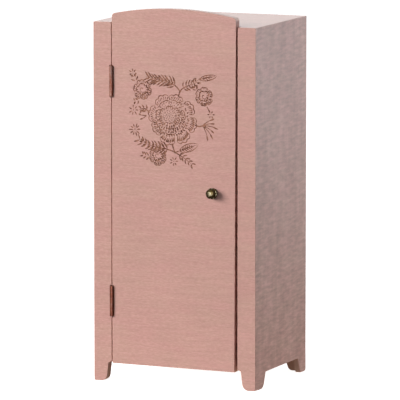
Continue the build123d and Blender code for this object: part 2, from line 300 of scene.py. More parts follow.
@dataclass(frozen=True)
class BrushedPaint:
    """Eggshell paint on wire-brushed fibreboard.

    The brushing leaves fine level streaks on the front faces and a crossed, cloth-like tooth on the sides. The
    paint is thin, so the board's tan shows in the hollows, on the rubbed edges and on the bare sawn edges of
    the feet. The tooth's hollows are also painted darker and its ridges lighter, as painted shading of the
    relief, much more so on the sides than on the fronts. A streak or a thread is given as its length and its
    pitch.
    """

    name: str = "eggshell_paint_on_brushed_fibreboard"
    coat: str = "#C99D93"
    hollow: str = "#AD8277"
    ridge: str = "#E3B8B0"
    coat_stops: tuple[float, ...] = (0.1, 0.5, 0.9)
    rosy_tint: str = "#FFFAFB"
    tan_tint: str = "#FCFEFA"
    tint_stops: tuple[float, ...] = (0.36, 0.64)
    rubbed_edge: str = "#C79A80"
    rubbed_share: float = 0.6
    rounding: tuple[float, float] = (0.985, 0.8)
    sawn: str = "#D6B49C"
    scorched: str = "#9C7462"
    scorch_stops: tuple[float, ...] = (0.35, 0.62)
    roughness: float = 0.32
    sawn_roughness: float = 0.85
    short_streak: tuple[float, float] = (2.4 * MM, 0.75 * MM)
    long_streak: tuple[float, float] = (14.0 * MM, 1.1 * MM)
    long_share: float = 0.36
    upright_thread: tuple[float, float] = (40.0 * MM, 7.5 * MM)
    level_thread: tuple[float, float] = (8.0 * MM, 1.7 * MM)
    upright_share: float = 0.38
    tint_size: tuple[float, float] = (24.0 * MM, 8.0 * MM)
    patch_size: float = 28.0 * MM
    patch_tone: tuple[float, float] = (0.975, 1.02)
    front_contrast: float = 0.95
    # On the sides the swing between hollow and ridge colour is mostly painted shading of the tooth
    side_contrast_and_painted_shade: float = 2.4
    front_relief: float = 0.012 * MM
    side_relief: float = 0.035 * MM
    side_facing: tuple[float, float] = (0.6, 0.8)
    half_width: float = 49.5 * MM
    half_depth: float = 38.2 * MM
    middle_y: float = 2.5 * MM
    foot_height: float = 11.4 * MM
    just_inside: float = 0.99

    def threads(self, tree: NodeTree, spot: NodeSocket, size: Sequence[float]) -> Node:
        """Noise drawn out into threads.

        Args:
            tree: the material's tree.
            spot: object coordinates.
            size: how long one grain of the noise is along X, Y and Z, in metres.

        Returns:
            A node that gives the noise, from 0 to 1.
        """
        mapping = add(tree, "Mapping", {"Vector": spot, "Scale": tuple(1 / length for length in size)})
        return add(tree, "TexNoise", {"Vector": mapping, "Scale": 1.0, "Detail": 3.0, "Roughness": 0.6})

    def level_threads(self, tree: NodeTree, spot: NodeSocket, size: tuple[float, float]) -> Node:
        """Threads that lie level, from their length and pitch."""
        length, pitch = size
        return self.threads(tree, spot, (length, length, pitch))

    def sawn_faces(self, tree: NodeTree, spot: NodeSocket) -> Node:
        """Picks the edges sawn round the feet: low down, and inside the outer faces.

        Args:
            tree: the material's tree.
            spot: object coordinates.

        Returns:
            A node that gives 1 on a sawn edge and 0 elsewhere.
        """
        outer = (self.half_width, self.half_depth, self.foot_height)
        reach = add(tree, "VectorMath", {0: spot, 1: (0.0, self.middle_y, 0.0)}, operation="SUBTRACT")
        reach = add(tree, "VectorMath", {0: reach, 1: outer}, operation="DIVIDE")
        reach = add(tree, "VectorMath", {0: reach}, operation="ABSOLUTE")
        reach = add(tree, "SeparateXYZ", {0: reach}).outputs
        outward = add(tree, "Math", {0: reach["X"], 1: reach["Y"]}, operation="MAXIMUM")
        inside = add(tree, "Math", {0: outward, 1: self.just_inside}, operation="LESS_THAN")
        low = add(tree, "Math", {0: reach["Z"], 1: 1.0}, operation="LESS_THAN")
        return add(tree, "Math", {0: inside, 1: low}, operation="MULTIPLY")

    def coat_colour(self, tree: NodeTree, spot: NodeSocket, swing: Node, patches: Node) -> Node:
        """The paint's colour before wear.

        Args:
            tree: the material's tree.
            spot: object coordinates.
            swing: where the surface lies between hollow and ridge.
            patches: broad, soft noise.

        Returns:
            A node that gives the colour.
        """
        colours = zip(self.coat_stops, (self.hollow, self.coat, self.ridge))
        colour = add(tree, "ValToRGB", {"Fac": swing}, stops=list(colours))
        least, most = NOISE_SPAN
        dim, bright = self.patch_tone
        tone = add(tree, "MapRange", {
            "Value": patches, "From Min": least, "From Max": most, "To Min": dim, "To Max": bright,
        })
        colour = add(tree, "Mix", {0: 1.0, 6: colour, 7: tone}, data_type="RGBA", blend_type="MULTIPLY")
        tints = self.level_threads(tree, spot, self.tint_size)
        stops = list(zip(self.tint_stops, (self.rosy_tint, self.tan_tint)))
        tint = add(tree, "ValToRGB", {"Fac": tints}, stops=stops)
        return add(tree, "Mix", {0: 1.0, 6: colour, 7: tint}, data_type="RGBA", blend_type="MULTIPLY")

    def make(self) -> Material:
        """Builds the material."""
        material, tree = new_material(self.name)
        place = add(tree, "TexCoord").outputs
        spot = place["Object"]
        short = self.level_threads(tree, spot, self.short_streak)
        long = self.level_threads(tree, spot, self.long_streak)
        streaks = add(tree, "Mix", {0: self.long_share, 2: short, 3: long})
        level = self.level_threads(tree, spot, self.level_thread)
        length, pitch = self.upright_thread
        upright = self.threads(tree, spot, (pitch, pitch, length))
        cloth = add(tree, "Mix", {0: self.upright_share, 2: level, 3: upright})
        facing = add(tree, "VectorMath", {0: place["Normal"]}, operation="ABSOLUTE")
        facing = add(tree, "SeparateXYZ", {0: facing}).outputs
        least, most = self.side_facing
        on_side = add(tree, "MapRange", {"Value": facing["X"], "From Min": least, "From Max": most})
        tooth = add(tree, "Mix", {0: on_side, 2: streaks, 3: cloth})
        # Hollows painted darker and ridges lighter: thin paint, plus painted shading of the relief, strongest
        # on the sides
        contrast = add(tree, "MapRange", {
            "Value": on_side, "To Min": self.front_contrast, "To Max": self.side_contrast_and_painted_shade,
        })
        swing = add(tree, "Math", {0: tooth, 1: 0.5}, operation="SUBTRACT")
        swing = add(tree, "Math", {0: swing, 1: contrast, 2: 0.5}, operation="MULTIPLY_ADD")
        patches = add(tree, "TexNoise", {"Vector": spot, "Scale": 1 / self.patch_size, "Detail": 2.0})
        colour = self.coat_colour(tree, spot, swing, patches)
        squarest = add(tree, "Math", {0: facing["X"], 1: facing["Y"]}, operation="MAXIMUM")
        squarest = add(tree, "Math", {0: squarest, 1: facing["Z"]}, operation="MAXIMUM")
        square, rounded = self.rounding
        on_edge = add(tree, "MapRange", {
            "Value": squarest, "From Min": square, "From Max": rounded, "To Max": self.rubbed_share,
        })
        colour = add(tree, "Mix", {0: on_edge, 6: colour, 7: self.rubbed_edge}, data_type="RGBA")
        stops = list(zip(self.scorch_stops, (self.scorched, self.sawn)))
        bare = add(tree, "ValToRGB", {"Fac": patches}, stops=stops)
        sawn = self.sawn_faces(tree, spot)
        colour = add(tree, "Mix", {0: sawn, 6: colour, 7: bare}, data_type="RGBA")
        gloss = add(tree, "MapRange", {"Value": sawn, "To Min": self.roughness, "To Max": self.sawn_roughness})
        relief = add(tree, "MapRange", {
            "Value": on_side, "To Min": self.front_relief, "To Max": self.side_relief,
        })
        height = add(tree, "Math", {0: tooth, 1: relief}, operation="MULTIPLY")
        bump = add(tree, "Bump", {"Height": height, "Strength": 1.0, "Distance": 1.0})
        surface(tree, {"Base Color": colour, "Roughness": gloss, "IOR": 1.5, "Normal": bump})
        return material


@dataclass(frozen=True)
class BurntBoard:
    """Fibreboard scorched by the engraving beam: dull dark brown, lighter where the burn is shallow."""

    name: str = "scorched_fibreboard"
    deep: str = "#5C3223"
    shallow: str = "#A67660"
    grit: float = 1.1 * MM
    roughness: float = 0.9

    def make(self) -> Material:
        """Builds the material."""
        material, tree = new_material(self.name)
        spot = add(tree, "TexCoord").outputs["Object"]
        grain = add(tree, "TexNoise", {"Vector": spot, "Scale": 1 / self.grit, "Detail": 2.0})
        colour = add(tree, "ValToRGB", {"Fac": grain}, stops=[(0.35, self.deep), (0.65, self.shallow)])
        surface(tree, {"Base Color": colour, "Roughness": self.roughness, "IOR": 1.45})
        return material


@dataclass(frozen=True)
class AgedBrass:
    """Cast brass, blackened and rubbed back: dark olive in the hollows, warm and bright on high spots and
    painted highlights.
    """

    name: str = "blackened_cast_brass"
    # Colour of rubbed brass, also used as the painted highlight on the knob's dome and the rosette's rim
    bright: str = "#E2D6B2"
    dark: str = "#382D18"
    rubbed_roughness: float = 0.34
    dark_roughness: float = 0.45
    blotch: float = 1.2 * MM
    blotch_span: tuple[float, float] = (0.35, 0.65)
    blotch_swing: float = 0.2
    relief: float = 0.02 * MM

    def make(self) -> Material:
        """Builds the material; it reads the point attribute of rubbing wear and painted highlight."""
        material, tree = new_material(self.name)
        spot = add(tree, "TexCoord").outputs["Object"]
        rub_and_highlight = add(tree, "Attribute", attribute_name="rub_and_highlight").outputs["Fac"]
        blotches = add(tree, "TexNoise", {"Vector": spot, "Scale": 1 / self.blotch, "Detail": 3.0})
        least, most = self.blotch_span
        spread = add(tree, "MapRange", {
            "Value": blotches, "From Min": least, "From Max": most,
            "To Min": -self.blotch_swing, "To Max": self.blotch_swing,
        })
        # Rubbing wear and painted highlight, broken up by blotches
        wear_and_highlight = add(tree, "Math", {0: rub_and_highlight, 1: spread}, operation="ADD", use_clamp=True)
        colour = add(tree, "ValToRGB", {"Fac": wear_and_highlight}, stops=[(0.15, self.dark), (0.85, self.bright)])
        gloss = add(tree, "MapRange", {
            "Value": wear_and_highlight, "To Min": self.dark_roughness, "To Max": self.rubbed_roughness,
        })
        bump = add(tree, "Bump", {"Height": blotches, "Strength": 1.0, "Distance": self.relief})
        surface(tree, {"Base Color": colour, "Metallic": 1.0, "Roughness": gloss, "Normal": bump})
        return material


@dataclass(frozen=True)
class PaintedOverBrass:
    """Brass hinge strip, antiqued to a red-brown, with smears of the board's paint left on the knuckles.

    The brush ran over the upper hinge more than over the lower one.
    """

    name: str = "antiqued_brass_with_paint"
    metal: str = "#7C4632"
    tarnish: str = "#5A281A"
    smear: str = "#8A5E4E"
    roughness: float = 0.38
    metallic: float = 0.6
    spot_size: float = 1.3 * MM
    smear_size: float = 3.0 * MM
    smear_span: tuple[float, float] = (0.48, 0.66)
    thickest: float = 0.85
    relief: float = 0.03 * MM
    drawn_down: tuple[float, float, float] = (2.0, 2.0, 0.5)
    less_below: float = -0.08
    more_above: float = 0.12
    height: float = 214.0 * MM

    def make(self) -> Material:
        """Builds the material."""
        material, tree = new_material(self.name)
        spot = add(tree, "TexCoord").outputs["Object"]
        mapping = add(tree, "Mapping", {"Vector": spot, "Scale": self.drawn_down})
        spots = add(tree, "TexNoise", {"Vector": mapping, "Scale": 1 / self.spot_size, "Detail": 3.0})
        metal = add(tree, "ValToRGB", {"Fac": spots}, stops=[(0.38, self.tarnish), (0.66, self.metal)])
        smears = add(tree, "TexNoise", {
            "Vector": mapping, "Scale": 1 / self.smear_size, "Detail": 3.0, "Roughness": 0.55,
        })
        level = add(tree, "SeparateXYZ", {0: spot}).outputs["Z"]
        brushed = add(tree, "MapRange", {
            "Value": level, "From Max": self.height, "To Min": self.less_below, "To Max": self.more_above,
        })
        spread = add(tree, "Math", {0: smears, 1: brushed}, operation="ADD")
        least, most = self.smear_span
        cover = add(tree, "MapRange", {
            "Value": spread, "From Min": least, "From Max": most, "To Max": self.thickest,
        })
        colour = add(tree, "Mix", {0: cover, 6: metal, 7: self.smear}, data_type="RGBA")
        shine = add(tree, "MapRange", {"Value": cover, "To Min": self.metallic, "To Max": 0.0})
        bump = add(tree, "Bump", {"Height": smears, "Distance": self.relief})
        surface(tree, {"Base Color": colour, "Metallic": shine, "Roughness": self.roughness, "Normal": bump})
        return material


@dataclass(frozen=True)
class SandedBirch:
    """Turned birch, sanded and left bare: pale straw with fine grain along the rod."""

    name: str = "sanded_birch"
    pale: str = "#DDBF94"
    grain: str = "#C39F70"
    grain_pitch: float = 0.45 * MM
    grain_length: float = 14.0 * MM
    roughness: float = 0.6
    relief: float = 0.02 * MM

    def make(self) -> Material:
        """Builds the material."""
        material, tree = new_material(self.name)
        spot = add(tree, "TexCoord").outputs["Object"]
        scale = (1 / self.grain_length, 1 / self.grain_pitch, 1 / self.grain_pitch)
        mapping = add(tree, "Mapping", {"Vector": spot, "Scale": scale})
        grain = add(tree, "TexNoise", {"Vector": mapping, "Scale": 1.0, "Detail": 3.0})
        colour = add(tree, "ValToRGB", {"Fac": grain}, stops=[(0.4, self.grain), (0.62, self.pale)])
        bump = add(tree, "Bump", {"Height": grain, "Distance": self.relief})
        surface(tree, {"Base Color": colour, "Roughness": self.roughness, "IOR": 1.5, "Normal": bump})
        return material


@dataclass(frozen=True)
class NickelPlate:
    """Nickel-plated magnet: smooth grey metal with faint turning marks."""

    name: str = "nickel_plated_steel"
    colour: str = "#B9B6B0"
    smoothest: float = 0.22
    roughest: float = 0.38
    mark_pitch: float = 0.12 * MM

    def make(self) -> Material:
        """Builds the material."""
        material, tree = new_material(self.name)
        spot = add(tree, "TexCoord").outputs["Object"]
        marks = add(tree, "TexNoise", {"Vector": spot, "Scale": 1 / self.mark_pitch, "Detail": 1.0})
        gloss = add(tree, "MapRange", {"Value": marks, "To Min": self.smoothest, "To Max": self.roughest})
        surface(tree, {"Base Color": self.colour, "Metallic": 1.0, "Roughness": gloss})
        return material


# The engraved flower spray, drawn in millimetres about its middle: X to the right and Y up on the door's face


@dataclass(frozen=True)
class Stroke:
    """One cut of the engraving tool."""

    points: tuple[Vector, ...]
    half_width: float
    taper: Taper

    def radius(self, share: float) -> float:
        """Half the cut's width at a share of its length."""
        if self.taper is Taper.BOTH:
            return self.half_width * (0.18 + 0.82 * math.sin(math.pi * share) ** 0.7)
        if self.taper is Taper.END:
            return self.half_width * (1.0 - 0.75 * share**1.5)
        return self.half_width


def bend(controls: Sequence[Vector], share: float) -> Vector:
    """A point on the smooth curve that these control points pull."""
    row = list(controls)
    while len(row) > 1:
        row = [a.lerp(b, share) for a, b in zip(row, row[1:])]
    return row[0]


def points(*numbers: float) -> list[Vector]:
    """Points from their X and Y numbers in turn."""
    return [Vector(pair) for pair in zip(numbers[::2], numbers[1::2])]


def polar(centre: Vector, angle: float, distance: float) -> Vector:
    """The point at an angle in degrees and a distance from centre."""
    turn = math.radians(angle)
    return centre + distance * Vector((math.cos(turn), math.sin(turn)))


@dataclass
class FlowerSpray:
    """A generic spray: one full bloom in the middle, with leafy sprigs, small roses and daisies round it."""

    bloom_radius: float = 14.6
    outline: float = 0.33
    stem: float = 0.4
    hatch: float = 0.4
    leaflet: float = 0.48
    light_from: float = 118.0
    seed: int = 7
    head_seeds: int = 28
    golden_angle: float = 137.5
    strokes: list[Stroke] = field(default_factory=list)
    rng: random.Random = field(init=False)

    def __post_init__(self) -> None:
        """Fixes the order of the small irregularities."""
        self.rng = random.Random(self.seed)

    def vary(self, value: float, share: float) -> float:
        """The value, more or less, by up to this share of it."""
        return value * (1.0 + self.rng.uniform(-share, share))

    def cut(
        self, controls: Sequence[Vector], half_width: float, taper: Taper = Taper.BOTH, steps: int = 8
    ) -> None:
        """Cuts along the smooth curve that the control points pull."""
        line = tuple(bend(controls, i / steps) for i in range(steps + 1))
        self.strokes.append(Stroke(line, half_width, taper))

    def dot(self, centre: Vector, radius: float) -> None:
        """Pricks a small pit."""
        reach = Vector((0.35 * radius, 0.0))
        self.strokes.append(Stroke((centre - reach, centre + reach), radius, Taper.NONE))

    def darkness(self, angle: float) -> float:
        """How far this side of a flower lies from the light, from 0 to 1."""
        return 0.5 - 0.5 * math.cos(math.radians(angle - self.light_from))

    def hatching(self, centre: Vector, angle: float, start: float, end: float, width: float) -> None:
        """One cut of shading, wider on the side away from the light.

        Args:
            centre: the flower's middle.
            angle: where the cut lies round it, in degrees.
            start: radius where it starts.
            end: radius where it ends in a point.
            width: half its width, before the light is counted.
        """
        line = [polar(centre, angle, start), polar(centre, angle + 3, end)]
        self.cut(line, width * (0.75 + 0.65 * self.darkness(angle)), Taper.END, 3)

    def ticks(self, centre: Vector, count: int, inner: float, length: float, width: float) -> None:
        """A ring of short cuts that shade the hollow round the petals inside it.

        Args:
            centre: the ring's middle.
            count: how many cuts.
            inner: radius where they start.
            length: the longest cut, on the side away from the light.
            width: half the widest cut.
        """
        for tick in range(count):
            angle = 360 * tick / count + self.rng.uniform(-3, 3)
            reach = length * (0.35 + 0.65 * self.darkness(angle)) * self.rng.uniform(0.7, 1.0)
            start = self.vary(inner, 0.04)
            self.hatching(centre, angle, start, start + reach, width)

    def petal_ring(
        self, centre: Vector, count: int, reach: float, root: float, lobes: int, hatches: int, turn: float
    ) -> None:
        """A ring of scalloped petals, each with short hatching inside its rim.

        Args:
            centre: the ring's middle.
            count: petals in the ring.
            reach: radius of the petals' rims.
            root: radius where the petals' sides end.
            lobes: scallops on each rim.
            hatches: hatching cuts in each petal.
            turn: angle in degrees of the first petal.
        """
        span = 360 / count
        for petal in range(count):
            start = turn + petal * span + self.rng.uniform(-3, 3)
            sweep = span * self.rng.uniform(0.86, 0.98)
            size = reach * self.rng.uniform(0.92, 1.05)
            rim = []
            steps = 6 * lobes
            for i in range(steps + 1):
                share = i / steps
                scallop = 0.055 * abs(math.sin(lobes * math.pi * share)) + 0.09 * math.sin(math.pi * share)
                rim.append(polar(centre, start + sweep * share, size * (0.88 + scallop)))
            left = polar(centre, start + 0.12 * sweep, root)
            right = polar(centre, start + 0.88 * sweep, root)
            outline = (left, rim[0].lerp(left, 0.45), *rim, rim[-1].lerp(right, 0.45), right)
            self.strokes.append(Stroke(outline, self.outline, Taper.BOTH))
            for mark in range(hatches):
                share = (mark + 0.5 + self.rng.uniform(-0.12, 0.12)) / hatches
                angle = start + sweep * share
                outer = size * (0.85 + 0.07 * math.sin(math.pi * share))
                length = (reach - root) * (0.4 + 0.35 * self.darkness(angle)) * self.rng.uniform(0.8, 1.1)
                self.hatching(centre, angle, outer, outer - length, self.hatch)

    def leaflets(
        self, stem: Sequence[Vector], pairs: int, length: float, first: float, last: float, slant: float
    ) -> None:
        """Pairs of solid leaflets along a stem.

        Args:
            stem: the stem's control points.
            pairs: how many pairs.
            length: the longest leaflet.
            first: share of the stem where the first pair sits.
            last: share of the stem where the last pair sits.
            slant: angle in degrees between leaflet and stem.
        """
        for pair in range(pairs):
            share = first + (last - first) * pair / max(1, pairs - 1)
            root = bend(stem, share)
            ahead = bend(stem, min(1.0, share + 0.02)) - bend(stem, share - 0.02)
            heading = math.degrees(math.atan2(ahead.y, ahead.x))
            size = length * (1.0 - 0.3 * pair / pairs)
            for side in (-1, 1):
                way = heading + side * (slant + self.rng.uniform(-7, 7))
                tip = polar(root, way, self.vary(size, 0.13))
                belly = polar(root.lerp(tip, 0.5), way + side * 90, 0.14 * size)
                near = polar(root, way, 0.12 * size)
                self.cut([near, belly, tip], self.vary(self.leaflet, 0.14), Taper.BOTH, 6)

    def leaf(self, root: Vector, heading: float, length: float, fullness: float, veins: int) -> None:
        """One broad leaf: two edges, a midrib and slanting veins.

        Args:
            root: where the leaf joins its stem.
            heading: angle in degrees that it points.
            length: from root to tip.
            fullness: half its width as a share of its length.
            veins: veins on each side of the midrib.
        """
        tip = polar(root, heading, length)
        for side in (-1, 1):
            out = polar(root, heading + side * 90, fullness * length)
            belly = out + (tip - root) * 0.3
            beyond = out + (tip - root) * 0.75
            self.cut([root, belly, beyond, tip], self.outline, Taper.BOTH, 10)
            for vein in range(veins):
                share = (vein + 0.8) / (veins + 0.8)
                start = root.lerp(tip, share * 0.85)
                reach = fullness * length * 0.9 * math.sin(math.pi * min(1.0, share + 0.08))
                self.cut([start, polar(start, heading + side * 48, reach)], self.hatch, Taper.END, 3)
        middle = polar(root, heading + 4, 0.5 * length)
        self.cut([root, middle, polar(root, heading, 0.92 * length)], self.outline)

    def rose(self, centre: Vector, radius: float, turn: float) -> None:
        """A small rose: three rings of petals, closing in on a curl."""
        self.petal_ring(centre, 6, radius, 0.68 * radius, 2, 4, turn)
        self.ticks(centre, 16, 0.6 * radius, 0.16 * radius, self.hatch)
        inner = polar(centre, self.light_from, 0.08 * radius)
        self.petal_ring(inner, 4, 0.62 * radius, 0.36 * radius, 1, 3, turn + 30)
        curl = [polar(inner, turn + 46 * i, radius * (0.06 + 0.045 * i)) for i in range(8)]
        self.strokes.append(Stroke(tuple(curl), self.outline, Taper.END))

    def daisy(self, centre: Vector, radius: float, rays: int) -> None:
        """A small daisy: solid rays round a dot."""
        for ray in range(rays):
            angle = 360 * ray / rays + self.rng.uniform(-6, 6)
            reach = self.vary(radius, 0.1)
            line = [polar(centre, angle, 0.34 * radius), polar(centre, angle, reach)]
            self.cut(line, self.leaflet * 0.8, Taper.BOTH, 4)
        self.dot(centre, 0.15 * radius)

    def fan(self, root: Vector, heading: float, spread: float, blades: int, length: float) -> None:
        """Long thin blades that open like a fan from one root."""
        for blade in range(blades):
            way = heading + spread * (blade / (blades - 1) - 0.5)
            size = length * self.rng.uniform(0.8, 1.05)
            tip = polar(root, way, size)
            belly = polar(root, way + 14, 0.55 * size)
            self.cut([root, belly, tip], self.outline, Taper.END, 6)
            self.cut([bend([root, belly, tip], 0.6), tip], self.leaflet, Taper.BOTH, 5)

    def bloom(self) -> None:
        """The full bloom: four rings of petals, each set a little off the last, round a head of seeds."""
        middle = Vector((-0.6, -0.4))
        size = self.bloom_radius
        self.petal_ring(middle, 8, size, 0.74 * size, 3, 8, 12)
        self.ticks(middle + Vector((-0.5, 0.4)), 44, 0.665 * size, 0.11 * size, self.hatch)
        self.petal_ring(middle + Vector((-0.9, 0.6)), 7, 0.65 * size, 0.5 * size, 2, 5, 40)
        self.ticks(middle + Vector((-1.1, 0.8)), 32, 0.455 * size, 0.09 * size, self.hatch)
        self.petal_ring(middle + Vector((-1.3, 0.9)), 6, 0.44 * size, 0.3 * size, 2, 4, 5)
        head = middle + Vector((-1.5, 1.1))
        self.ticks(head, 26, 0.25 * size, 0.07 * size, 0.9 * self.hatch)
        for number in range(self.head_seeds):
            self.dot(polar(head, self.golden_angle * number, 0.68 * math.sqrt(number)), 0.38)

    def upper_sprigs(self) -> None:
        """The forked stem above the bloom, with its sprays to the left and the right."""
        fork = Vector((4.2, 15.0))
        self.cut([*points(3.2, 12.4, 3.6, 13.4), fork], self.stem, Taper.NONE, 4)
        left = [fork, *points(0.0, 21.8, -9.0, 20.4, -16.5, 22.6)]
        self.cut(left, self.stem, Taper.END, 14)
        self.leaflets(left, 9, 5.4, 0.2, 0.95, 42)
        self.leaflets(left, 8, 3.0, 0.25, 0.9, 28)
        self.rose(Vector((-18.8, 14.9)), 5.6, 20)
        self.cut(points(-10.5, 20.4, -12.5, 19.0, -14.0, 18.2), self.stem, Taper.NONE, 4)
        self.leaflets(points(-22.4, 19.0, -23.4, 20.6, -24.0, 22.6), 2, 2.8, 0.3, 0.9, 48)
        self.daisy(Vector((-24.6, 24.3)), 2.6, 7)
        self.leaflets(points(-20.6, 9.4, -22.0, 8.6, -23.4, 8.4), 2, 2.4, 0.2, 0.9, 50)
        right = [fork, *points(7.0, 19.5, 12.5, 18.0, 15.2, 22.2)]
        self.cut(right, self.stem, Taper.END, 12)
        self.leaflets(right, 6, 3.9, 0.2, 0.85, 50)
        self.leaf(Vector((15.2, 22.2)), 12, 11.6, 0.17, 5)
        self.rose(Vector((18.8, 12.6)), 5.4, 60)
        self.leaflets(points(14.6, 16.0, 13.6, 17.2, 12.6, 18.0), 2, 2.6, 0.2, 0.8, 46)
        self.cut(points(20.6, 7.2, 21.2, 5.8, 22.2, 4.6), self.outline, Taper.NONE, 4)
        self.daisy(Vector((23.0, 2.8)), 2.5, 6)

    def side_sprigs(self) -> None:
        """The small sprigs to the left and the right of the bloom."""
        left = points(-14.6, 2.2, -16.8, 5.6, -20.6, 3.8)
        self.cut(left, self.stem, Taper.END, 8)
        self.leaflets(left, 3, 3.2, 0.3, 0.85, 52)
        self.daisy(Vector((-24.2, 3.4)), 3.1, 7)
        self.fan(Vector((-16.4, 0.6)), 192, 40, 2, 5.2)
        stem = points(13.4, -3.4, 15.6, -4.8, 18.0, -3.6)
        self.cut(stem, self.stem, Taper.NONE, 6)
        self.fan(Vector((18.0, -3.6)), -20, 100, 6, 9.4)

    def lower_sprigs(self) -> None:
        """The stem below the bloom and what grows from it."""
        knot = Vector((1.2, -19.6))
        self.cut([*points(-0.6, -14.4, -0.2, -17.0), knot], self.stem, Taper.NONE, 6)
        left = [knot, *points(-5.0, -16.2, -13.0, -18.4, -21.0, -13.0)]
        self.cut(left, self.stem, Taper.END, 14)
        self.leaflets(left, 9, 4.8, 0.22, 0.98, 44)
        self.leaflets(left, 7, 2.8, 0.3, 0.9, 26)
        self.daisy(Vector((-23.4, -7.6)), 3.6, 10)
        self.rose(Vector((-9.4, -22.0)), 5.2, 0)
        self.leaflets(points(-14.4, -22.4, -16.4, -22.6, -18.6, -21.6), 3, 3.0, 0.1, 0.9, 46)
        self.leaf(knot + Vector((2.0, 0.8)), 20, 13.0, 0.22, 7)
        self.cut([knot, knot + Vector((1.0, 0.7)), knot + Vector((2.0, 0.8))], self.stem, Taper.NONE, 4)
        right = [knot, *points(6.0, -21.5, 11.5, -26.0)]
        self.cut(right, self.stem, Taper.END, 8)
        self.leaflets(right, 5, 3.4, 0.25, 0.95, 40)
        self.daisy(Vector((0.4, -24.6)), 2.7, 7)

    def draw(self) -> list[Stroke]:
        """Draws the whole spray and returns its cuts."""
        self.bloom()
        self.upper_sprigs()
        self.side_sprigs()
        self.lower_sprigs()
        return self.strokes


# Sub-assemblies


@dataclass
class Carcass:
    """The boards that don't move, and what is fixed inside them."""

    boards: tuple[str, ...] = (
        "left_side_panel", "right_side_panel", "left_front_stile", "right_front_stile", "top_panel",
        "bottom_panel", "back_panel", "hat_shelf", "left_shelf_cleat", "right_shelf_cleat", "catch_block",
    )
    turned: tuple[str, ...] = ("hanging_rail", "left_rail_socket", "right_rail_socket")

    def build(self, paint: Material, birch: Material, nickel: Material) -> None:
        """Dresses the CAD nodes of the carcass.

        Args:
            paint: for the boards.
            birch: for the hanging rail and its sockets.
            nickel: for the catch magnet.
        """
        for node in self.boards:
            dress(node, paint)
        for node in self.turned:
            dress(node, birch)
        dress("catch_magnet", nickel)


def dress(node: str, material: Material) -> None:
    """Gives a CAD node its material."""
    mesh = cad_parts[node].data
    mesh.materials.clear()
    mesh.materials.append(material)
    log.info("%s: %s", node, material.name)


@dataclass
class Door:
    """The door board with the flower spray cut into its face."""

    spray_from_middle: Vector = field(default_factory=lambda: Vector((-0.22, 40.6)))
    depth_share: float = 0.75
    face_lift: float = 0.02 * MM
    crease: float = 25.0

    def carving_tree(self) -> NodeTree:
        """Builds the tree that sinks a V-shaped groove along every stroke."""
        tree, start, end = geometry_tree(
            "carve_strokes",
            {"Strokes": "NodeSocketObject", "Face": "NodeSocketVector", "Depth share": "NodeSocketFloat",
             "Paint": "NodeSocketMaterial", "Groove": "NodeSocketMaterial"},
        )
        strokes = add(tree, "GeometryNodeObjectInfo", {"Object": start.outputs["Strokes"]})
        upright = add(tree, "GeometryNodeSetCurveNormal", {"Curve": strokes.outputs["Geometry"]}, mode="Z_UP")
        number = add(tree, "GeometryNodeInputIndex")
        apart = add(tree, "GeometryNodeSplitToInstances", {0: upright, "Group ID": number}, domain="CURVE")
        diamond = add(tree, "GeometryNodeCurvePrimitiveCircle", {"Resolution": 4, "Radius": 1.0})
        stretch = add(tree, "CombineXYZ", {0: 1.0, 1: start.outputs["Depth share"], 2: 1.0})
        profile = add(tree, "GeometryNodeTransform", {"Geometry": diamond, "Scale": stretch})
        width = add(tree, "GeometryNodeInputRadius")
        groove = add(
            tree, "GeometryNodeCurveToMesh",
            {"Curve": apart, "Profile Curve": profile, "Scale": width,
             "Fill Caps": True},
        )
        marked = add(
            tree, "GeometryNodeStoreNamedAttribute", {"Geometry": groove, "Name": "cut", "Value": True},
            data_type="BOOLEAN", domain="FACE",
        )
        placed = add(
            tree, "GeometryNodeTransform",
            {"Geometry": marked, "Translation": start.outputs["Face"], "Rotation": (math.pi / 2, 0, 0)},
        )
        carved = add(
            tree, "GeometryNodeMeshBoolean",
            {"Mesh 1": start, "Mesh 2": placed},
            operation="DIFFERENCE", solver="MANIFOLD",
        )
        whole = add(tree, "GeometryNodeRealizeInstances", {0: carved})
        painted = add(
            tree, "GeometryNodeSetMaterial", {"Geometry": whole, "Material": start.outputs["Paint"]}
        )
        cut = add(tree, "GeometryNodeInputNamedAttribute", {"Name": "cut"}, data_type="BOOLEAN")
        burnt = add(
            tree, "GeometryNodeSetMaterial",
            {"Geometry": painted, "Selection": cut, "Material": start.outputs["Groove"]},
        )
        tree.links.new(burnt.outputs[0], end.inputs[0])
        return tree

    def stroke_curves(self, strokes: Iterable[Stroke]) -> Object:
        """Turns the strokes into one curve object, flat in the XY plane, in metres."""
        curves = bpy.data.curves.new("strokes", "CURVE")
        curves.dimensions = "3D"
        for stroke in strokes:
            spline = curves.splines.new("POLY")
            last = len(stroke.points) - 1
            spline.points.add(last)
            for i, point in enumerate(stroke.points):
                spline.points[i].co = (point.x * MM, point.y * MM, 0.0, 1.0)
                spline.points[i].radius = stroke.radius(i / last) * MM
        return in_scene("strokes", curves)

    def build(self, paint: Material, burnt: Material) -> None:
        """Carves the door panel.

        Args:
            paint: the board's paint.
            burnt: the material of the cuts.
        """
        low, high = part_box("door_panel")
        board = merged_copy("door_panel")
        board.materials.append(paint)
        blank = in_scene("door_blank", board)
        strokes = FlowerSpray().draw()
        drawn = self.stroke_curves(strokes)
        face = Vector((
            (low.x + high.x) / 2 + self.spray_from_middle.x * MM,
            low.y - self.face_lift,
            (low.z + high.z) / 2 + self.spray_from_middle.y * MM,
        ))
        mesh = evaluated_mesh(
            blank, self.carving_tree(),
            {"Strokes": drawn, "Face": face, "Depth share": self.depth_share, "Paint": paint, "Groove": burnt},
        )
        bpy.data.objects.remove(drawn)
        settle_normals(mesh, self.crease)
        new_piece("engraved_door_panel", mesh, "door", ["door_panel"])
        log.info("flower spray: %d cuts", len(strokes))


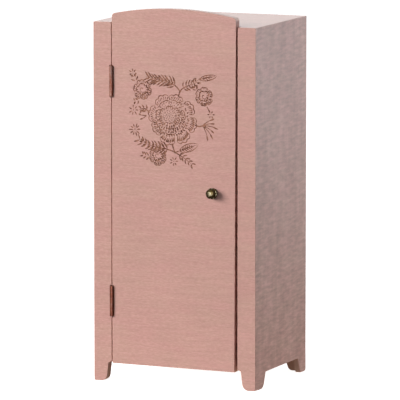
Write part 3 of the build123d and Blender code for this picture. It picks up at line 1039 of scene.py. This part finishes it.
@dataclass
class Knob:
    """The turned knob and its rosette."""

    steps: int = 64
    crease: float = 38.0
    dome_start: float = 0.548
    dome_points: int = 14
    # How far out from the middle the dome is rubbed bright and painted with a highlight, and how fast that
    # falls off
    rub_and_highlight_out_to: float = 0.66
    rub_and_highlight_falls_by: float = 0.9
    # Third number of each row: rubbing wear; on the rosette's front rim it is also a painted highlight
    stem: Profile = (
        (0.0, 0.0, 0.1), (0.0, 0.54, 0.1), (0.04, 0.54, 0.1), (0.1, 0.46, 0.0), (0.16, 0.435, 0.0),
        (0.22, 0.47, 0.0), (0.26, 0.6, 0.0), (0.29, 0.76, 0.0), (0.34, 0.88, 0.0), (0.42, 0.965, 0.0),
        (0.49, 0.995, 0.0),
    )
    rosette: Profile = (
        (0.0, 0.0, 0.0), (0.0, 0.985, 0.0), (0.08, 1.0, 0.0), (0.52, 1.0, 0.0), (0.6, 0.97, 0.0),
        (0.68, 0.97, 0.0), (0.76, 1.0, 0.05), (0.88, 1.0, 0.1), (0.96, 0.975, 0.2), (1.0, 0.93, 0.24),
        (1.0, 0.84, 0.16), (0.97, 0.8, 0.1), (0.95, 0.72, 0.1), (0.95, 0.0, 0.1),
    )

    def dome(self) -> Profile:
        """The knob's front, from its widest place to its middle, which handling has rubbed bright and where a
        highlight is painted.
        """
        front = []
        for i in range(self.dome_points + 1):
            turn = math.pi / 2 * (1 - i / self.dome_points)
            out = math.sin(turn)
            # Brightness of rubbing wear and a painted highlight, fading out from the dome's middle
            bright = min(1.0, max(0.0, self.rub_and_highlight_falls_by * (self.rub_and_highlight_out_to - out)))
            front.append((self.dome_start + (1 - self.dome_start) * math.cos(turn), out, bright))
        front[-1] = (1.0, 0.0, 1.0)
        return front

    def turned_piece(self, name: str, node: str, profile: Profile, brass: Material) -> None:
        """Turns one piece inside its CAD node's box.

        Args:
            name: the new piece's name.
            node: the CAD node that it stands for.
            profile: share of the length from the door, share of the radius, and how bright it is from rubbing
                wear
            and a painted highlight.
            brass: its material.
        """
        low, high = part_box(node)
        centre = Vector(((low.x + high.x) / 2, high.y, (low.z + high.z) / 2))
        length = high.y - low.y
        radius = (high.x - low.x) / 2
        outline = [(along * length, out * radius) for along, out, rub_and_highlight in profile]
        rub_and_highlight_levels = [rub_and_highlight for along, out, rub_and_highlight in profile]
        mesh = lathe(name, centre, Vector((0, -1, 0)), outline, rub_and_highlight_levels, self.steps)
        mesh.materials.append(brass)
        soften(mesh, self.crease)
        new_piece(name, mesh, "door", [node])

    def build(self, brass: Material) -> None:
        """Makes the knob and the rosette.

        Args:
            brass: their material.
        """
        self.turned_piece("turned_knob", "door_knob", [*self.stem, *self.dome()], brass)
        self.turned_piece("turned_rosette", "knob_rosette", self.rosette, brass)


@dataclass
class Hinges:
    """The two butt hinges and every screw in them."""

    leaves: tuple[str, ...] = (
        "upper_hinge_frame_leaf", "lower_hinge_frame_leaf", "upper_hinge_door_leaf", "lower_hinge_door_leaf",
        "upper_hinge_pin", "lower_hinge_pin",
    )
    shank_share: float = 0.5
    slot_width: float = 0.22 * MM
    slot_depth: float = 0.16 * MM
    row_of: int = 3
    sides: int = 24
    spin_seed: int = 4

    def screw_tree(self) -> NodeTree:
        """Builds the tree that puts a slotted, countersunk screw on every point."""
        tree, start, end = geometry_tree(
            "slotted_screws",
            {"Head radius": "NodeSocketFloat", "Shank radius": "NodeSocketFloat", "Length": "NodeSocketFloat",
             "Slot width": "NodeSocketFloat", "Slot depth": "NodeSocketFloat", "Drive": "NodeSocketVector",
             "Brass": "NodeSocketMaterial"},
        )
        head_radius, shank_radius = start.outputs["Head radius"], start.outputs["Shank radius"]
        cone_depth = add(tree, "Math", {0: head_radius, 1: shank_radius}, operation="SUBTRACT")
        head = add(
            tree, "GeometryNodeMeshCone",
            {"Vertices": self.sides, "Radius Top": shank_radius, "Radius Bottom": head_radius,
             "Depth": cone_depth},
        )
        straight = add(tree, "Math", {0: start.outputs["Length"], 1: cone_depth}, operation="SUBTRACT")
        shank = add(
            tree, "GeometryNodeMeshCone",
            {"Vertices": self.sides, "Radius Top": 0.0, "Radius Bottom": shank_radius, "Depth": straight},
        )
        seat = add(tree, "CombineXYZ", {2: cone_depth})
        shank = add(tree, "GeometryNodeTransform", {"Geometry": shank, "Translation": seat})
        body = add(tree, "GeometryNodeMeshBoolean", {"Mesh 2": head}, operation="UNION", solver="MANIFOLD")
        tree.links.new(shank.outputs[0], body.inputs["Mesh 2"])
        # The bar that cuts the slot reaches past the head on both sides
        across = add(tree, "Math", {0: head_radius, 1: 3.0}, operation="MULTIPLY")
        twice = add(tree, "Math", {0: start.outputs["Slot depth"], 1: 2.0}, operation="MULTIPLY")
        size = add(tree, "CombineXYZ", {0: across, 1: start.outputs["Slot width"], 2: twice})
        bar = add(tree, "GeometryNodeMeshCube", {"Size": size})
        slotted = add(
            tree, "GeometryNodeMeshBoolean", {"Mesh 1": body, "Mesh 2": bar},
            operation="DIFFERENCE", solver="MANIFOLD",
        )
        spots = add(tree, "GeometryNodeMeshToPoints", {0: start})
        half_turn = (0.0, 0.0, math.pi)
        spin = add(
            tree, "FunctionNodeRandomValue", {"Min": (0.0, 0.0, 0.0), "Max": half_turn, "Seed": self.spin_seed},
            data_type="FLOAT_VECTOR",
        )
        spun = add(tree, "FunctionNodeEulerToRotation", {0: spin})
        drive = add(tree, "FunctionNodeAlignRotationToVector", {"Vector": start.outputs["Drive"]}, axis="Z")
        turn = add(tree, "FunctionNodeRotateRotation", {0: drive, 1: spun}, rotation_space="LOCAL")
        screws = add(
            tree, "GeometryNodeInstanceOnPoints",
            {"Points": spots, "Instance": slotted, "Rotation": turn},
        )
        whole = add(tree, "GeometryNodeRealizeInstances", {0: screws})
        coated = add(tree, "GeometryNodeSetMaterial", {"Geometry": whole, "Material": start.outputs["Brass"]})
        tree.links.new(coated.outputs[0], end.inputs[0])
        return tree

    def screw_places(self, node: str, leaf: str, side: int) -> tuple[list[Vector], float]:
        """Where the screws of one kind of leaf sit.

        Args:
            node: the CAD node that holds the screws.
            leaf: the leaf's name without "upper" or "lower".
            side: the way they are driven along X, -1 or 1.

        Returns:
            The middles of their heads, and the radius of a head.
        """
        low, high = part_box(node)
        radius = (high.y - low.y) / 2
        head_x = low.x if side > 0 else high.x
        places = []
        for level in ("upper", "lower"):
            leaf_low, leaf_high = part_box(f"{level}_{leaf}")
            middle = (leaf_low.z + leaf_high.z) / 2
            if level == "upper":
                pitch = high.z - radius - middle
            for row in range(self.row_of):
                offset = row - (self.row_of - 1) / 2
                places.append(Vector((head_x, (low.y + high.y) / 2, middle + offset * pitch)))
        return places, radius

    def build(self, strip: Material, brass: Material) -> None:
        """Dresses the leaves and pins, and makes the screws.

        Args:
            strip: for the leaves and the pins.
            brass: for the screws.
        """
        for node in self.leaves:
            dress(node, strip)
        tree = self.screw_tree()
        for word, body, side in (("frame", "carcass", -1), ("door", "door", 1)):
            node = f"hinge_{word}_screws"
            places, radius = self.screw_places(node, f"hinge_{word}_leaf", side)
            low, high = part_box(node)
            mesh = bpy.data.meshes.new(node + "_places")
            mesh.from_pydata(places, [], [])
            dots = in_scene(node + "_places", mesh)
            screws = evaluated_mesh(
                dots, tree,
                {"Head radius": radius, "Shank radius": radius * self.shank_share, "Length": high.x - low.x,
                 "Slot width": self.slot_width, "Slot depth": self.slot_depth,
                 "Drive": Vector((side, 0.0, 0.0)), "Brass": brass},
            )
            new_piece(f"slotted_{word}_screws", screws, body, [node])


@dataclass(frozen=True)
class Lamp:
    """One area light that faces the object, from an azimuth and an elevation; its power is in watts."""

    name: str
    azimuth: float
    elevation: float
    distance: float
    width: float
    height: float
    power: float
    in_gloss: bool = True
    on_matt: bool = True


@dataclass
class Studio:
    """A white floor and surround, four soft lights and the camera.

    The key light hangs to the left and a weak one to the right. A tall strip in front shows only in gloss, as
    the bright spot on the knob, and a faint light hangs above.
    """

    azimuth: float = 22.921
    elevation: float = 7.801
    distance: float = 2.8472
    lens: float = 456.5
    sensor: float = 36.0
    sees_to: float = 20.0
    aim: Vector = field(default_factory=lambda: Vector((0.01582, -0.0357, 0.10681)))
    lamps: tuple[Lamp, ...] = (
        Lamp("key_light", -53.0, 16.0, distance=2.2, width=1.1, height=1.1, power=69.4, in_gloss=False),
        Lamp("right_light", 125.0, 8.0, distance=0.7, width=0.5, height=0.5, power=1.62),
        Lamp("glint_light", 10.0, 8.0, distance=2.0, width=0.3, height=0.9, power=52.0, on_matt=False),
    )
    top_lamp: Lamp = Lamp("top_light", 0.0, 90.0, distance=1.0, width=0.9, height=0.9, power=0.25)
    top_offset: tuple[float, float] = (0.15, 0.1)
    fill: float = 0.1
    fill_tint: str = "#FFE8E0"
    sheen: float = 1.6
    floor_half: float = 6.0
    floor_white: str = "#FFFFFF"
    floor_glow: float = 0.94
    floor_bounce: str = "#8C8886"
    under_glow: float = 0.32
    under_reach: tuple[float, float] = (0.05, 0.16)
    sheen_reach: tuple[float, float] = (0.2, 1.4)
    near_sheen: str = "#FFF1E8"
    near_glow: float = 0.7
    far_sheen: str = "#F6F8FF"
    far_glow: float = 1.45
    front_share: float = 0.5

    def direction(self, azimuth: float, elevation: float) -> Vector:
        """The way from the object to something seen at these angles; azimuth 0 is straight in front."""
        a, e = math.radians(azimuth), math.radians(elevation)
        return Vector((math.sin(a) * math.cos(e), -math.cos(a) * math.cos(e), math.sin(e)))

    def hang(self, lamp: Lamp, place: Vector) -> None:
        """Hangs a light.

        Args:
            lamp: its size, power and what it shows on.
            place: where it hangs.
        """
        data = bpy.data.lights.new(lamp.name, "AREA")
        data.shape = "RECTANGLE"
        data.size, data.size_y = lamp.width, lamp.height
        data.energy = lamp.power
        light = in_scene(lamp.name, data)
        light.location = place
        light.rotation_euler = (self.aim - place).to_track_quat("-Z", "Y").to_euler()
        light.visible_glossy = lamp.in_gloss
        light.visible_diffuse = lamp.on_matt

    def camera(self) -> None:
        """Sets up the camera."""
        data = bpy.data.cameras.new("camera")
        data.lens = self.lens
        data.sensor_width = self.sensor
        data.clip_end = self.sees_to
        camera = in_scene("camera", data)
        back = self.direction(self.azimuth, self.elevation)
        camera.location = self.aim + back * self.distance
        camera.rotation_euler = (-back).to_track_quat("-Z", "Y").to_euler()
        bpy.context.scene.camera = camera

    def world(self) -> None:
        """A white surround: full white to the eye and in reflections, softer as a fill light."""
        world = bpy.data.worlds.new("white_surround")
        bpy.context.scene.world = world
        world.use_nodes = True
        tree = world.node_tree
        tree.nodes.clear()
        ray = add(tree, "LightPath").outputs
        glossy = add(tree, "MapRange", {"Value": ray["Is Glossy Ray"], "To Min": 1.0, "To Max": self.sheen})
        soft = add(tree, "Mix", {0: ray["Is Diffuse Ray"], 2: glossy, 3: self.fill})
        tint = add(
            tree, "Mix", {0: ray["Is Diffuse Ray"], 6: self.floor_white, 7: self.fill_tint}, data_type="RGBA"
        )
        glow = add(tree, "Background", {"Color": tint, "Strength": soft})
        add(tree, "OutputWorld", {"Surface": glow})

    def under_light(self, tree: NodeTree, away: NodeSocket) -> Node:
        """The floor as it lights the object: a grey bounce, and a glow close under the feet.

        Args:
            tree: the floor's tree.
            away: distance from the object's middle.

        Returns:
            The shader's node.
        """
        dull = add(tree, "BsdfDiffuse", {"Color": self.floor_bounce})
        close, clear = self.under_reach
        under = add(tree, "MapRange", {
            "Value": away, "From Min": close, "From Max": clear, "To Min": self.under_glow, "To Max": 0.0,
        })
        under = add(tree, "Emission", {"Color": self.near_sheen, "Strength": under})
        return add(tree, "AddShader", {0: dull, 1: under})

    def reflected(self, tree: NodeTree, spot: NodeSocket, away: NodeSocket) -> Node:
        """The floor as it shows in gloss: brighter and cooler further off, dimmer in front than behind.

        Args:
            tree: the floor's tree.
            spot: object coordinates.
            away: distance from the object's middle.

        Returns:
            The shader's node.
        """
        near, far = self.sheen_reach
        glow = add(tree, "MapRange", {
            "Value": away, "From Min": near, "From Max": far, "To Min": self.near_glow, "To Max": self.far_glow,
        })
        reach = add(tree, "MapRange", {"Value": away, "From Min": near, "From Max": far})
        tint = add(tree, "Mix", {0: reach, 6: self.near_sheen, 7: self.far_sheen}, data_type="RGBA")
        behind = add(tree, "SeparateXYZ", {0: spot}).outputs["Y"]
        dimmer = add(tree, "MapRange", {
            "Value": behind, "From Min": -near, "From Max": near, "To Min": self.front_share, "To Max": 1.0,
        })
        glow = add(tree, "Math", {0: glow, 1: dimmer}, operation="MULTIPLY")
        return add(tree, "Emission", {"Color": tint, "Strength": glow})

    def floor(self) -> None:
        """A white floor at the feet, lit from within enough to lose all but a trace of the shadow."""
        mesh = bpy.data.meshes.new("floor")
        half = self.floor_half
        corners = [(-half, -half, 0), (half, -half, 0), (half, half, 0), (-half, half, 0)]
        mesh.from_pydata(corners, [], [(0, 1, 2, 3)])
        material, tree = new_material("white_floor")
        ray = add(tree, "LightPath").outputs
        seen = add(tree, "Emission", {"Color": self.floor_white, "Strength": self.floor_glow})
        painted = add(tree, "BsdfDiffuse", {"Color": self.floor_white})
        seen = add(tree, "AddShader", {0: seen, 1: painted})
        spot = add(tree, "TexCoord").outputs["Object"]
        away = add(tree, "VectorMath", {0: spot}, operation="LENGTH").outputs["Value"]
        under, mirrored = self.under_light(tree, away), self.reflected(tree, spot, away)
        unseen = add(tree, "MixShader", {0: ray["Is Glossy Ray"], 1: under, 2: mirrored})
        whole = add(tree, "MixShader", {0: ray["Is Camera Ray"], 1: unseen, 2: seen})
        add(tree, "OutputMaterial", {"Surface": whole})
        mesh.materials.append(material)
        in_scene("floor", mesh)

    def build(self) -> None:
        """Builds the studio."""
        bpy.context.scene.view_settings.view_transform = "Standard"
        self.camera()
        self.world()
        self.floor()
        for lamp in self.lamps:
            self.hang(lamp, self.aim + self.direction(lamp.azimuth, lamp.elevation) * lamp.distance)
        right, back = self.top_offset
        self.hang(self.top_lamp, Vector((self.aim.x + right, back, self.top_lamp.distance)))


def main() -> None:
    """Builds everything in order."""
    logging.basicConfig(level=logging.INFO, format="%(name)s %(message)s")
    Studio().build()
    paint = BrushedPaint().make()
    brass = AgedBrass().make()
    nickel = NickelPlate().make()
    Carcass().build(paint, SandedBirch().make(), nickel)
    Door().build(paint, BurntBoard().make())
    dress("door_magnet", nickel)
    dress("knob_screw", brass)
    Knob().build(brass)
    Hinges().build(PaintedOverBrass().make(), brass)


if __name__ == "__main__":
    main()
